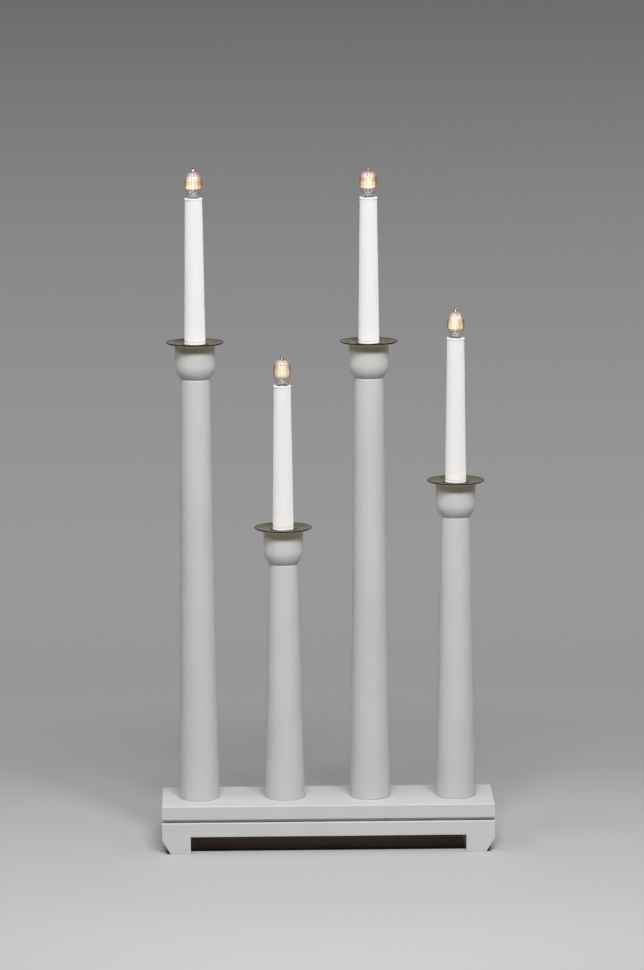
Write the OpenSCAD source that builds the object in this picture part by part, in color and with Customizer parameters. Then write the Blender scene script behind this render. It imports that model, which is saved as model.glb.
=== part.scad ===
// Electric candle holder. Four turned wooden columns of three heights stand on a footed bench base.
// Each column swells into a cup that carries a brass drip plate and a plastic candle with a screw-in lamp.
// Millimetres. +X runs along the base, +Y to the back and +Z up.
// The origin is the middle of the base, on the table.

/* [Base] */
// Length of the base from end to end
base_w = 280; // [270:1:340]
// Depth of the base from front to back
base_d = 70; // [64:1:100]
// Height of the base above the table
base_h = 41; // [40:0.5:60]
// Length of each foot along the base
foot_w = 24; // [18:0.5:27]
// Height of the open space under the base
foot_h = 14.4; // [12:0.1:15]
// Width of the slanted cut on the outer corner of a foot
foot_cut_w = 7; // [2:0.5:12]
// Height of the slanted cut on the outer corner of a foot
foot_cut_h = 11.5; // [4:0.5:12]
// Distance from the top of the base down to the groove
groove_drop = 12; // [6:0.1:12.2]
// Height of the groove along the front and the back
groove_h = 2.8; // [1:0.1:4]
// Depth of the groove
groove_depth = 4; // [1:0.5:5]

/* [Columns] */
// Distance from an end of the base to the axis of the nearest column
end_margin = 31.4; // [31:0.1:45]
// Height of the first and third columns above the base
tall_h = 386; // [300:1:450]
// Height of the second column above the base
short_h = 229; // [150:1:350]
// Height of the fourth column above the base
middle_h = 268; // [150:1:400]
// Diameter of a column at the base
column_foot_d = 34; // [28:0.1:40]
// Diameter of a column where it meets its cup
column_neck_d = 24.7; // [20:0.1:28]
// Diameter of the cup
cup_d = 33.2; // [30:0.1:40]
// Height of the straight upper part of the cup
cup_straight_h = 16; // [8:0.5:25]
// Diameter of the tenon that is glued into the base
tenon_d = 18; // [14:0.5:22]
// Length of the tenon
tenon_l = 12.3; // [8:0.1:13]
// Diameter of the bore that leads the wires through column and spigot
wire_bore_d = 6.4; // [6.2:0.1:7]

/* [Drip plate] */
// Diameter of the drip plate
plate_d = 48; // [42:0.5:60]
// Angle at which its rim ends
rim_angle = 35; // [25:1:50]
// Height of its rim above its floor
plate_rise = 2.1; // [1:0.1:4]
// Thickness of the sheet
plate_t = 0.7; // [0.5:0.1:1.5]

/* [Candle] */
// Height of the candle
candle_h = 122; // [90:1:160]
// Diameter of the candle at its foot
candle_foot_d = 17.6; // [17:0.1:22]
// Diameter of the candle at its top
candle_top_d = 14.4; // [14.2:0.1:16.5]
// Thickness of the candle's wall
candle_wall = 1.2; // [0.8:0.1:1.3]
// Diameter of the candle's mouth
mouth_d = 11.6; // [11.2:0.1:11.8]
// Depth of the lip around the mouth
lip_h = 4; // [3:0.1:6]
// Bevel on the candle's top edge
candle_bevel = 0.4; // [0.2:0.1:0.6]

/* [Spigot] */
// Height of the spigot that the candle is pushed over
spigot_h = 10; // [6:0.5:20]
// Diameter of the screwed tail
tail_d = 10; // [9:0.1:12]
// Length of the tail in the cup
tail_l = 14; // [10:0.5:20]

/* [Lamp holder] */
// Height of the insulating holder
holder_h = 17; // [16:0.5:24]
// Outer diameter of the screw shell
shell_d = 10.3; // [10.1:0.1:10.6]
// Thickness of the screw shell
shell_t = 0.3; // [0.2:0.05:0.3]
// Height of the screw shell
shell_h = 10; // [9.7:0.1:11]

/* [Centre contact] */
// Diameter of the contact's head
contact_head_d = 4.4; // [4:0.1:6]
// Thickness of the contact's head
contact_head_t = 0.5; // [0.3:0.1:0.6]
// Diameter of the contact's stem
contact_stem_d = 2; // [1.6:0.1:2.2]
// Diameter of the spring's wire
spring_wire_d = 0.4; // [0.3:0.05:0.45]
// Diameter of the spring, from wire centre to wire centre
spring_d = 3.4; // [3.2:0.1:3.8]
// Turns of the spring
spring_turns = 4; // [2:1:5]
// Height of the spring with the lamp screwed home
spring_h = 4; // [3:0.1:5]

/* [Lamp] */
// Diameter of the glass
bulb_d = 15; // [13:0.1:18]
// Height of the glass above the candle
bulb_h = 25.2; // [22:0.1:34]
// Diameter of the glass neck
bulb_neck_d = 10.6; // [10:0.1:10.8]
// Thickness of the glass
glass_t = 0.7; // [0.5:0.05:0.9]
// Diameter of the screw cap
cap_d = 9.44; // [9.2:0.02:9.5]
// Height of the screw cap
cap_h = 8; // [7:0.1:8.5]
// Thickness of the screw cap
cap_t = 0.3; // [0.2:0.05:0.4]
// Distance from the candle's top down to the screw cap
cap_drop = 3.5; // [3:0.1:4]
// Length of glass neck inside the screw cap
neck_in_cap = 4.5; // [3:0.1:5]
// Strands of the filament, which run up and down by turns
cage_strands = 8; // [4:2:10]
// Diameter of the filament's wire
filament_d = 0.45; // [0.2:0.05:0.5]

/* [Wiring] */
// Diameter of an insulated wire
wire_d = 1.6; // [1.2:0.1:1.6]
// Width of the wiring channel
channel_w = 24; // [22:0.5:25]
// Height of the wiring channel above its cover
channel_h = 9; // [8.5:0.1:9.5]
// Depth of the cover board from front to back
cover_d = 40; // [36:0.5:41]
// Thickness of the cover board
cover_t = 3; // [2:0.1:3.5]
// Length of the terminal block along the base
block_w = 16; // [12:0.5:24]
// Depth of the terminal block
block_d = 12; // [8:0.5:12]
// Height of the terminal block
block_h = 6.8; // [5:0.1:7]

/* [Cover screws] */
// Distance from the middle of the base to a screw, along the base
screw_x = 75; // [50:1:95]
// Distance from the middle of the base to a screw, across the base
screw_y = 16; // [15:0.5:17]
// Diameter of a screw
screw_d = 3; // [2.5:0.1:3.5]
// Length of a screw
screw_l = 11; // [8:0.5:14]
// Diameter of a screw's countersunk head
screw_head_d = 5.8; // [4.5:0.1:6]

/* [Cord inlet] */
// Diameter of the bore for the mains cord
inlet_d = 5.2; // [4.6:0.1:5.6]
// Outer diameter of the bush
bush_d = 7.4; // [7:0.1:7.6]
// Length of the bush
bush_l = 14; // [8:0.5:14]
// Diameter of the bush's flange
flange_d = 8.8; // [8.4:0.1:8.9]
// Thickness of the bush's flange
flange_t = 1.5; // [1:0.1:2.5]

/* [Hidden] */
$fn = 64;
glue_gap = 0.1;  // radial room in glued, screwed and pressed joints
guide_gap = 0.06;  // radial room around the sliding contact stem
past = 1;  // how far a cut runs past the face that it opens

// Radii
column_foot_r = column_foot_d / 2;
neck_r = column_neck_d / 2;
cup_r = cup_d / 2;
tenon_r = tenon_d / 2;
wire_bore_r = wire_bore_d / 2;
plate_r = plate_d / 2;
candle_foot_r = candle_foot_d / 2;
candle_top_r = candle_top_d / 2;
mouth_r = mouth_d / 2;
tail_r = tail_d / 2;
shell_r = shell_d / 2;
bulb_r = bulb_d / 2;
bulb_neck_r = bulb_neck_d / 2;
cap_r = cap_d / 2;
stem_r = contact_stem_d / 2;
wire_r = wire_d / 2;

// The columns, from left to right
COLUMNS = [1, 2, 3, 4];
COLUMN_H = [tall_h, short_h, tall_h, middle_h];
column_pitch = (base_w - 2 * end_margin) / (len(COLUMNS) - 1);
function column_x(k) = (k - 2.5) * column_pitch;
function cup_top(k) = base_h + COLUMN_H[k - 1];

// The cup's round bottom is part of a ball that ends where it meets the column
cup_round_h = sqrt(cup_r * cup_r - neck_r * neck_r);
cup_h = cup_straight_h + cup_round_h;

// The candle stands on the plate's floor, and everything in it is measured from its top
function candle_z(k) = cup_top(k) + plate_t;
function lamp_z(k) = candle_z(k) + candle_h;
function candle_r(h) = candle_foot_r + (candle_top_r - candle_foot_r) * h / candle_h;
function bore_r(h) = candle_r(h) - candle_wall;

// Lamp and holder, down from the candle's top
holder_top = -lip_h;
holder_bottom = holder_top - holder_h;
cap_top = -cap_drop;
cap_bottom = cap_top - cap_h;
cap_floor_t = 0.4;  // thickness of the cap's end wall
cap_hole_r = 2.6;  // hole in that wall for the insulator's nose
cap_bore_r = cap_r - cap_t;
insulator_disc_t = 0.8;
insulator_nose_h = 1.3;
insulator_tip_r = 1.8;
solder_r = 1.6;
solder_h = 0.9;
insulator_bottom = cap_bottom + cap_floor_t - insulator_nose_h;
solder_bottom = insulator_bottom - solder_h;
neck_plug_r = cap_bore_r - glue_gap;
neck_bottom = cap_top - neck_in_cap;
flare_t = 0.5;  // thickness of the stem's flare under the neck
stem_top = 0.2 * bulb_h;  // shoulder of the stem, where the leads come out
cage_low = 0.295 * bulb_h;  // lower turns of the filament
cage_high = 0.645 * bulb_h;  // upper turns of the filament
cage_r = 0.36 * bulb_r;  // ring that the filament's strands stand on
lead_r = 1.2;  // distance of the leads from the lamp's axis
contact_top = solder_bottom;
spring_top = contact_top - contact_head_t;
spring_bottom = spring_top - spring_h;
shell_floor = holder_top - shell_h - 0.3;
pocket_r = spring_d / 2 + spring_wire_d / 2 + 0.4;
contact_stem_end = 0.2;  // how far the stem stays inside the holder

// Base, up from the table
cover_top = foot_h + cover_t;
channel_top = cover_top + channel_h;
cover_gap = 0.4;
cover_w = base_w - 2 * foot_w - 2 * cover_gap;
channel_l = 3 * column_pitch + 2 * wire_bore_r;
mortise_gap = 0.2;
screw_head_h = (screw_head_d - screw_d) / 2;
inlet_z = cover_top + bush_d / 2 + 0.3;
block_y = 1;

// Wires: two in every column, lanes in the channel
wire_off = wire_bore_r - wire_r - 0.2;
link_z = cover_top + wire_r + 0.15;
feed_z = channel_top - block_h / 2;
feed_y = -(channel_w / 2 - wire_r - 2.2);
wire_bend = 2;

// Colours
paint = [0.74, 0.75, 0.74];
bronze = [0.42, 0.36, 0.28];
brass = [0.80, 0.66, 0.36];
candle_white = [0.96, 0.96, 0.94];
glass = [0.93, 0.90, 0.86, 0.4];
board = [0.33, 0.24, 0.18];

// A cubic curve through a and d, drawn towards b and c, without its last point
function curve(a, b, c, d, n) = [for (i = [0 : n - 1]) let (t = i / n, u = 1 - t)
    u * u * u * a + 3 * u * u * t * b + 3 * u * t * t * c + t * t * t * d];

function unit(v) = v / norm(v);

// A path whose inner corners are rounded off within the distance r
function rounded(path, r, n = 4) = let (last = len(path) - 1) concat(
    [path[0]],
    [for (i = [1 : last - 1]) let (
        p = path[i],
        a = p + r * unit(path[i - 1] - p),
        b = p + r * unit(path[i + 1] - p)
    ) for (j = [0 : n]) let (t = j / n, u = 1 - t) u * u * a + 2 * u * t * p + t * t * b],
    [path[last]]
);

// A direction along the path at each of its points
function headings(path) = let (last = len(path) - 1)
    [for (i = [0 : last]) unit(path[min(i + 1, last)] - path[max(i - 1, 0)])];

// What is left of v across the heading h
function across(v, h) = unit(v - (v * h) * h);

// A direction across the path at each of its points, which never twists suddenly
function sides_of(h) = let (start = abs(h[0][2]) > 0.9 ? [1, 0, 0] : [0, 0, 1])
    [for (i = 0, s = across(start, h[0]); i < len(h); i = i + 1, s = i < len(h) ? across(s, h[i]) : s) s];

// A round wire of radius r along a path
module wire(path, r, n = 8) {
    h = headings(path);
    s = sides_of(h);
    last = len(path) - 1;
    rings = [for (i = [0 : last]) for (j = [0 : n - 1])
        path[i] + r * (cos(360 * j / n) * s[i] + sin(360 * j / n) * cross(h[i], s[i]))];
    walls = [for (i = [0 : last - 1]) for (j = [0 : n - 1]) let (
        a = i * n + j, b = i * n + (j + 1) % n, c = b + n, d = a + n
    ) each [[a, d, b], [b, d, c]]];
    first_end = [for (j = [1 : n - 2]) [0, j, j + 1]];
    last_end = [for (j = [1 : n - 2]) [last * n, last * n + j + 1, last * n + j]];
    polyhedron(points = rings, faces = concat(walls, first_end, last_end));
}

module at_column(k, z) {
    translate([column_x(k), 0, z]) children();
}

// The base: a board on two glued feet
module foot_outline() {
    polygon([
        [base_w / 2 - foot_w, 0], [base_w / 2 - foot_cut_w, 0], [base_w / 2, foot_cut_h],
        [base_w / 2, foot_h], [base_w / 2 - foot_w, foot_h]
    ]);
}

module base_feet() {
    color(paint) for (side = [0, 1]) mirror([side, 0, 0])
        rotate([90, 0, 0]) linear_extrude(base_d, center = true) foot_outline();
}

module groove(side) {
    groove_z = base_h - groove_drop - groove_h;
    translate([-base_w / 2 - past, side * base_d / 2 - groove_depth, groove_z])
        cube([base_w + 2 * past, 2 * groove_depth, groove_h]);
}

module mortise() {
    depth = tenon_l + mortise_gap;
    translate([0, 0, base_h - depth]) cylinder(r = tenon_r + glue_gap, h = depth + past);
    translate([0, 0, channel_top - past]) cylinder(r = wire_bore_r, h = base_h - channel_top);
}

module inlet_hole() {
    translate([0, base_d / 2, inlet_z]) rotate([90, 0, 0]) {
        translate([0, 0, -past]) cylinder(r = flange_d / 2 + glue_gap, h = flange_t + past);
        cylinder(r = bush_d / 2 + glue_gap, h = (base_d - channel_w) / 2 + past);
    }
}

module at_screws() {
    for (x = [-screw_x, screw_x], y = [-screw_y, screw_y]) translate([x, y, foot_h]) children();
}

module base_board() {
    color(paint) difference() {
        translate([-base_w / 2, -base_d / 2, foot_h]) cube([base_w, base_d, base_h - foot_h]);
        groove(-1);
        groove(1);
        for (k = COLUMNS) translate([column_x(k), 0, 0]) mortise();
        translate([-channel_l / 2, -channel_w / 2, foot_h - past])
            cube([channel_l, channel_w, cover_t + channel_h + past]);
        translate([-cover_w / 2 - cover_gap, -cover_d / 2 - cover_gap, foot_h - past])
            cube([cover_w + 2 * cover_gap, cover_d + 2 * cover_gap, cover_t + past]);
        at_screws() cylinder(r = screw_d / 2 + glue_gap, h = screw_l + mortise_gap);
        inlet_hole();
    }
}

module base_cover() {
    color(board) difference() {
        translate([-cover_w / 2, -cover_d / 2, foot_h]) cube([cover_w, cover_d, cover_t]);
        at_screws() translate([0, 0, -past]) cylinder(r = screw_d / 2 + glue_gap, h = cover_t + 2 * past);
        at_screws() cylinder(r1 = screw_head_d / 2, r2 = screw_d / 2, h = screw_head_h);
    }
}

module cover_screws() {
    color("silver") at_screws() {
        cylinder(r1 = screw_head_d / 2, r2 = screw_d / 2, h = screw_head_h);
        translate([0, 0, screw_head_h]) cylinder(r = screw_d / 2, h = screw_l - screw_head_h);
    }
}

// The bush that leads the mains cord in through the back
module cord_bush() {
    color([0.2, 0.2, 0.2]) translate([0, base_d / 2, inlet_z]) rotate([90, 0, 0]) difference() {
        union() {
            cylinder(r = flange_d / 2, h = flange_t);
            translate([0, 0, flange_t]) cylinder(r = bush_d / 2, h = bush_l - flange_t);
        }
        translate([0, 0, -past]) cylinder(r = inlet_d / 2, h = bush_l + 2 * past);
    }
}

// A two-pole block under the channel's roof, with its poles running front to back
module terminal_block() {
    pole_r = 1.3;
    screw_r = 1.2;
    pole_gap = block_w / 4;
    color("ivory") difference() {
        translate([-block_w / 2, block_y - block_d / 2, channel_top - block_h])
            cube([block_w, block_d, block_h]);
        for (x = [-pole_gap, pole_gap]) translate([x, block_y, feed_z]) {
            rotate([90, 0, 0]) translate([0, 0, -block_d / 2 - past])
                cylinder(r = pole_r, h = block_d / 2 + past);
            for (y = [-block_d / 4, block_d / 4]) translate([0, y, -block_h / 2 - past])
                cylinder(r = screw_r, h = block_h / 2 - pole_r);
        }
    }
}

// One wire from the terminal block to a column at the end of the row
module feed_wire(side) {
    k = side < 0 ? COLUMNS[0] : COLUMNS[len(COLUMNS) - 1];
    x = column_x(k) + side * wire_off;
    block_x = side * block_w / 4;
    wire(rounded([
        [block_x, block_y - block_d / 2, feed_z], [block_x, feed_y, feed_z], [x, feed_y, feed_z],
        [x, 0, feed_z], [x, 0, lamp_z(k) + holder_bottom]
    ], wire_bend), wire_r);
}

// One wire that joins two neighbouring lamps in series
module link_wire(k) {
    x1 = column_x(k) + wire_off;
    x2 = column_x(k + 1) - wire_off;
    wire(rounded([
        [x1, 0, lamp_z(k) + holder_bottom], [x1, 0, link_z], [x2, 0, link_z],
        [x2, 0, lamp_z(k + 1) + holder_bottom]
    ], wire_bend), wire_r);
}

module wiring() {
    color("white") {
        for (side = [-1, 1]) feed_wire(side);
        for (k = [1 : len(COLUMNS) - 1]) link_wire(k);
    }
}

// A column with its cup, turned from one piece
module cup_outline() {
    translate([0, cup_round_h]) square([cup_r, cup_straight_h]);
    intersection() {
        translate([0, cup_round_h]) circle(r = cup_r);
        square([cup_r, cup_round_h]);
    }
}

module column(k) {
    neck_z = cup_top(k) - cup_h;
    color(paint) at_column(k, 0) difference() {
        union() {
            translate([0, 0, base_h - tenon_l]) cylinder(r = tenon_r, h = tenon_l);
            translate([0, 0, base_h]) cylinder(r1 = column_foot_r, r2 = neck_r, h = neck_z - base_h);
            translate([0, 0, neck_z]) rotate_extrude() cup_outline();
        }
        translate([0, 0, base_h - tenon_l - past])
            cylinder(r = wire_bore_r, h = cup_top(k) - base_h + tenon_l);
        translate([0, 0, cup_top(k) - tail_l]) cylinder(r = tail_r + glue_gap, h = tail_l + past);
    }
}

// A shallow saucer of sheet brass, bored for the spigot's tail
module plate_outline() {
    bend_r = plate_rise / (1 - cos(rim_angle));
    floor_r = plate_r - (bend_r + plate_t) * sin(rim_angle);
    reach = 2 * bend_r;
    translate([tail_r + glue_gap, 0]) square([floor_r - tail_r - glue_gap, plate_t]);
    translate([floor_r, plate_t + bend_r]) intersection() {
        difference() {
            circle(r = bend_r + plate_t);
            circle(r = bend_r);
        }
        polygon([[0, 0], [0, -reach], [reach * tan(rim_angle), -reach]]);
    }
}

module drip_plate(k) {
    color(bronze) at_column(k, cup_top(k)) rotate_extrude() plate_outline();
}

// A hollow screw that clamps the plate to the cup and carries the candle
module spigot(k) {
    color(brass) at_column(k, candle_z(k)) difference() {
        union() {
            translate([0, 0, -plate_t - tail_l]) cylinder(r = tail_r, h = tail_l + plate_t);
            cylinder(r1 = bore_r(0) - glue_gap, r2 = bore_r(spigot_h) - glue_gap, h = spigot_h);
        }
        translate([0, 0, -plate_t - tail_l - past])
            cylinder(r = wire_bore_r, h = tail_l + plate_t + spigot_h + 2 * past);
    }
}

// The tapered plastic candle, with a lip around its mouth
module candle_tube(k) {
    lip_z = candle_h - lip_h;
    color(candle_white) at_column(k, candle_z(k)) rotate_extrude() polygon([
        [bore_r(0), 0], [candle_foot_r, 0], [candle_r(candle_h - candle_bevel), candle_h - candle_bevel],
        [candle_top_r - candle_bevel, candle_h], [mouth_r, candle_h], [mouth_r, lip_z],
        [bore_r(lip_z), lip_z]
    ]);
}

// The insulating holder under the lip, with room for the screw shell, the spring and the contact
module lamp_holder(k) {
    top_r = bore_r(candle_h + holder_top) - glue_gap;
    bottom_r = bore_r(candle_h + holder_bottom) - glue_gap;
    color("ivory") at_column(k, lamp_z(k)) difference() {
        translate([0, 0, holder_bottom]) cylinder(r1 = bottom_r, r2 = top_r, h = holder_h);
        translate([0, 0, shell_floor])
            cylinder(r = shell_r + glue_gap, h = holder_top - shell_floor + past);
        translate([0, 0, spring_bottom]) cylinder(r = pocket_r, h = shell_floor - spring_bottom + past);
        translate([0, 0, holder_bottom - past])
            cylinder(r = stem_r + guide_gap, h = spring_bottom - holder_bottom + 2 * past);
    }
}

module screw_shell(k) {
    color(brass) at_column(k, lamp_z(k) + shell_floor) difference() {
        cylinder(r = shell_r, h = shell_h);
        translate([0, 0, -past]) cylinder(r = shell_r - shell_t, h = shell_h + 2 * past);
    }
}

// The sprung contact, which follows the lamp as it is turned out
module centre_contact(k) {
    stem_bottom = holder_bottom + contact_stem_end;
    color(brass) at_column(k, lamp_z(k)) {
        translate([0, 0, spring_top]) cylinder(r = contact_head_d / 2, h = contact_head_t);
        translate([0, 0, stem_bottom]) cylinder(r = stem_r, h = spring_top - stem_bottom);
    }
}

module contact_springs() {
    turn_points = 10;
    points = spring_turns * turn_points;
    low = spring_bottom + spring_wire_d / 2;
    rise = spring_h - spring_wire_d;
    coil = [for (i = [0 : points]) let (a = 360 * i / turn_points)
        [spring_d / 2 * cos(a), spring_d / 2 * sin(a), low + rise * i / points]];
    color("silver") for (k = COLUMNS) at_column(k, lamp_z(k)) wire(coil, spring_wire_d / 2, 6);
}

// The lamp: screw cap, insulator, solder tip, glass, stem and filament
module lamp_cap(k) {
    color(brass) at_column(k, lamp_z(k) + cap_bottom) difference() {
        cylinder(r = cap_r, h = cap_h);
        translate([0, 0, cap_floor_t]) cylinder(r = cap_bore_r, h = cap_h);
        translate([0, 0, -past]) cylinder(r = cap_hole_r, h = cap_floor_t + 2 * past);
    }
}

module lamp_insulator(k) {
    color([0.1, 0.1, 0.12]) at_column(k, lamp_z(k) + cap_bottom + cap_floor_t) {
        cylinder(r = cap_bore_r - glue_gap, h = insulator_disc_t);
        translate([0, 0, -insulator_nose_h])
            cylinder(r1 = insulator_tip_r, r2 = cap_hole_r - glue_gap, h = insulator_nose_h);
    }
}

// A drop of solder, part of a ball
module lamp_solder_tip(k) {
    ball_r = (solder_r * solder_r + solder_h * solder_h) / (2 * solder_h);
    color("silver") at_column(k, lamp_z(k) + insulator_bottom) intersection() {
        translate([0, 0, ball_r - solder_h]) sphere(r = ball_r);
        translate([0, 0, -solder_h - past]) cylinder(r = solder_r + past, h = solder_h + past);
    }
}

// Heights on the glass above the candle, as shares of its height
belly = 0.40;
shoulder = 0.865;

module glass_outside() {
    tip_r = 0.30 * bulb_r;
    n = 8;
    polygon(concat(
        [[0, neck_bottom], [neck_plug_r, neck_bottom], [neck_plug_r, cap_top], [bulb_neck_r, cap_top]],
        curve([bulb_neck_r, 0.02 * bulb_h], [bulb_neck_r, 0.18 * bulb_h], [bulb_r, 0.24 * bulb_h],
            [bulb_r, belly * bulb_h], n),
        curve([bulb_r, belly * bulb_h], [bulb_r, 0.60 * bulb_h], [0.77 * bulb_r, 0.78 * bulb_h],
            [tip_r, shoulder * bulb_h], n),
        curve([tip_r, shoulder * bulb_h], [0.22 * bulb_r, 0.91 * bulb_h], [0.17 * bulb_r, bulb_h],
            [0, bulb_h], n),
        [[0, bulb_h]]
    ));
}

module glass_inside() {
    plug_bore_r = neck_plug_r - glass_t;
    in_neck_r = bulb_neck_r - glass_t;
    in_r = bulb_r - glass_t;
    n = 8;
    polygon(concat(
        [[0, neck_bottom - past], [plug_bore_r, neck_bottom - past], [plug_bore_r, cap_top]],
        curve([in_neck_r, cap_top + glass_t], [in_neck_r, 0.18 * bulb_h], [in_r, 0.24 * bulb_h],
            [in_r, belly * bulb_h], n),
        curve([in_r, belly * bulb_h], [in_r, 0.59 * bulb_h], [0.66 * bulb_r, 0.83 * bulb_h],
            [0, 0.83 * bulb_h], n),
        [[0, 0.83 * bulb_h]]
    ));
}

module bulb_glass(k) {
    color(glass) at_column(k, lamp_z(k)) rotate_extrude() difference() {
        glass_outside();
        glass_inside();
    }
}

module lamp_stem(k) {
    waist_r = 1.8;
    button_r = 1.8;
    rod_r = 0.8;
    rod_top = cage_high - 0.5;
    color(glass) at_column(k, lamp_z(k)) rotate_extrude() polygon([
        [0, neck_bottom - flare_t], [neck_plug_r, neck_bottom - flare_t], [neck_plug_r, neck_bottom],
        [neck_plug_r - glass_t - glue_gap, neck_bottom], [waist_r, neck_bottom + 3],
        [waist_r, stem_top - 2], [button_r, stem_top], [rod_r, stem_top], [rod_r, rod_top], [0, rod_top]
    ]);
}

// One wire from the stem, up and down round a ring and back to the stem
module filament(k) {
    step = 360 / cage_strands;
    lead_bend = 1.2;
    function around(i, r, z) = [r * cos(i * step), r * sin(i * step), z];
    strands = [for (i = [0 : cage_strands - 1]) each i % 2 == 0
        ? [around(i, cage_r, cage_low), around(i, cage_r, cage_high)]
        : [around(i, cage_r, cage_high), around(i, cage_r, cage_low)]];
    last = cage_strands - 1;
    path = concat(
        [around(0, lead_r, stem_top), around(0, lead_r, stem_top + lead_bend)],
        strands,
        [around(last, lead_r, stem_top + lead_bend), around(last, lead_r, stem_top)]
    );
    color("orange") at_column(k, lamp_z(k)) wire(rounded(path, 0.5, 3), filament_d / 2, 6);
}

base_board();
base_feet();
base_cover();
cover_screws();
cord_bush();
terminal_block();
wiring();
contact_springs();
for (k = COLUMNS) {
    column(k);
    drip_plate(k);
    spigot(k);
    candle_tube(k);
    lamp_holder(k);
    screw_shell(k);
    centre_contact(k);
    lamp_cap(k);
    lamp_insulator(k);
    lamp_solder_tip(k);
    bulb_glass(k);
    lamp_stem(k);
    filament(k);
}
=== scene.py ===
"""Electric candle holder: detailed pieces, finishes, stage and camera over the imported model."""

import math

import bmesh
import bpy
from bpy.props import FloatProperty, FloatVectorProperty, IntProperty, PointerProperty
from mathutils import Matrix, Vector


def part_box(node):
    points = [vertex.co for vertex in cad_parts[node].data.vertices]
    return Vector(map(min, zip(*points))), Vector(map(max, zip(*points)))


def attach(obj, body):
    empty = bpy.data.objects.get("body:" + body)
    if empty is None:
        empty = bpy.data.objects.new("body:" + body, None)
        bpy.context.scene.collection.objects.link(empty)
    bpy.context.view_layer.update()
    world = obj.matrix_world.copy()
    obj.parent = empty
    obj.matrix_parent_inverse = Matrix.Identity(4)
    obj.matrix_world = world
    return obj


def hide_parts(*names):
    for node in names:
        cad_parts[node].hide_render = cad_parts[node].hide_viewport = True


bl_info = {
    "name": "Electric candle holder",
    "version": (1, 0, 0),
    "blender": (4, 5, 0),
    "location": "View3D > Sidebar > Candle holder",
    "description": "Builds the pieces, finishes and stage of an electric candle holder",
    "category": "Object",
}

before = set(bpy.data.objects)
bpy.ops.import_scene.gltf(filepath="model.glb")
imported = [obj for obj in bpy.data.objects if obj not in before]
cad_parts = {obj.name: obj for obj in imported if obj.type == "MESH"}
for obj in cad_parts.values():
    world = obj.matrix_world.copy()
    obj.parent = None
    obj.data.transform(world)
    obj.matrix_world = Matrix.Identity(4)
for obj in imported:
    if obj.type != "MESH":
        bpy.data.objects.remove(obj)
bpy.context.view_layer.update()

CANDLES = (1, 2, 3, 4)
FULL_DOMES = (2, 3)
HOLDER = "holder"

BLACK = (0.0, 0.0, 0.0)
WHITE = (1.0, 1.0, 1.0)
EVEN = (1.0, 1.0, 1.0)

# Distances in metres below which points count as one, and faces as lying in one plane
SAME_POINT = 1e-6
SAME_PLANE = 1e-5


# Settings


def length(name, description, default):
    """A size in metres."""
    return FloatProperty(name=name, description=description, default=default, min=0.0, unit="LENGTH")


def share(name, description, default):
    """A share from 0 to 1."""
    return FloatProperty(
        name=name, description=description, default=default, min=0.0, max=1.0, subtype="FACTOR"
    )


def turn(name, description, degrees):
    """An angle, given in degrees."""
    return FloatProperty(
        name=name, description=description, default=math.radians(degrees), subtype="ANGLE"
    )


def power(name, description, default):
    """The power of a light in watts."""
    return FloatProperty(name=name, description=description, default=default, min=0.0, unit="POWER")


def colour(name, description, default):
    """A linear colour."""
    return FloatVectorProperty(
        name=name, description=description, default=default, min=0.0, max=1.0, subtype="COLOR"
    )


def srgb(red, green, blue):
    """A linear colour from 8-bit screen values."""

    def linear(level):
        value = level / 255
        return value / 12.92 if value <= 0.04045 else ((value + 0.055) / 1.055) ** 2.4

    return (linear(red), linear(green), linear(blue))


def grey(level):
    """A linear grey from an 8-bit screen value."""
    return srgb(level, level, level)


class BaseSettings(bpy.types.PropertyGroup):
    """Sizes of the bench base that its box doesn't give."""

    foot_width: length("Foot width", "Length of each foot along the base", 0.024)
    foot_cut_width: length("Foot cut width", "Width of the slanted cut on a foot's outer corner", 0.007)
    foot_cut_height: length("Foot cut height", "Height of the slanted cut on a foot's outer corner", 0.0115)
    groove_drop: length("Groove drop", "Distance from the top down to the groove", 0.0117)
    groove_height: length("Groove height", "Height of the groove along front and back", 0.0028)
    groove_depth: length("Groove depth", "Depth of the groove", 0.0031)
    edge_round: length("Edge rounding", "Rounding of the sanded edges", 0.0006)


class ColumnSettings(bpy.types.PropertyGroup):
    """Sizes of the turned columns."""

    foot_radius: length("Foot radius", "Radius of a column on the base", 0.017)
    neck_radius: length("Neck radius", "Radius of a column under its cup", 0.01235)
    cup_radius: length("Cup radius", "Radius of the cup", 0.0166)
    cup_straight: length("Cup side", "Height of the cup's straight side", 0.0167)
    neck_cut: length("Neck cut", "Depth of the fine cut between column and cup", 0.0012)
    lip_round: length("Lip rounding", "Rounding of the column's upper lip", 0.001)
    edge_round: length("Edge rounding", "Rounding of the turned edges", 0.0006)


class PlateSettings(bpy.types.PropertyGroup):
    """Sizes of the drip plates."""

    radius: length("Radius", "Radius of a drip plate", 0.024)
    hole_radius: length("Hole radius", "Radius of the hole for the spigot", 0.0051)
    rise: length("Rise", "Height of the rim above the floor", 0.0021)
    thickness: length("Thickness", "Thickness of the sheet", 0.0007)
    rim_angle: turn("Rim angle", "Angle at which the rim ends", 35)


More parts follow.
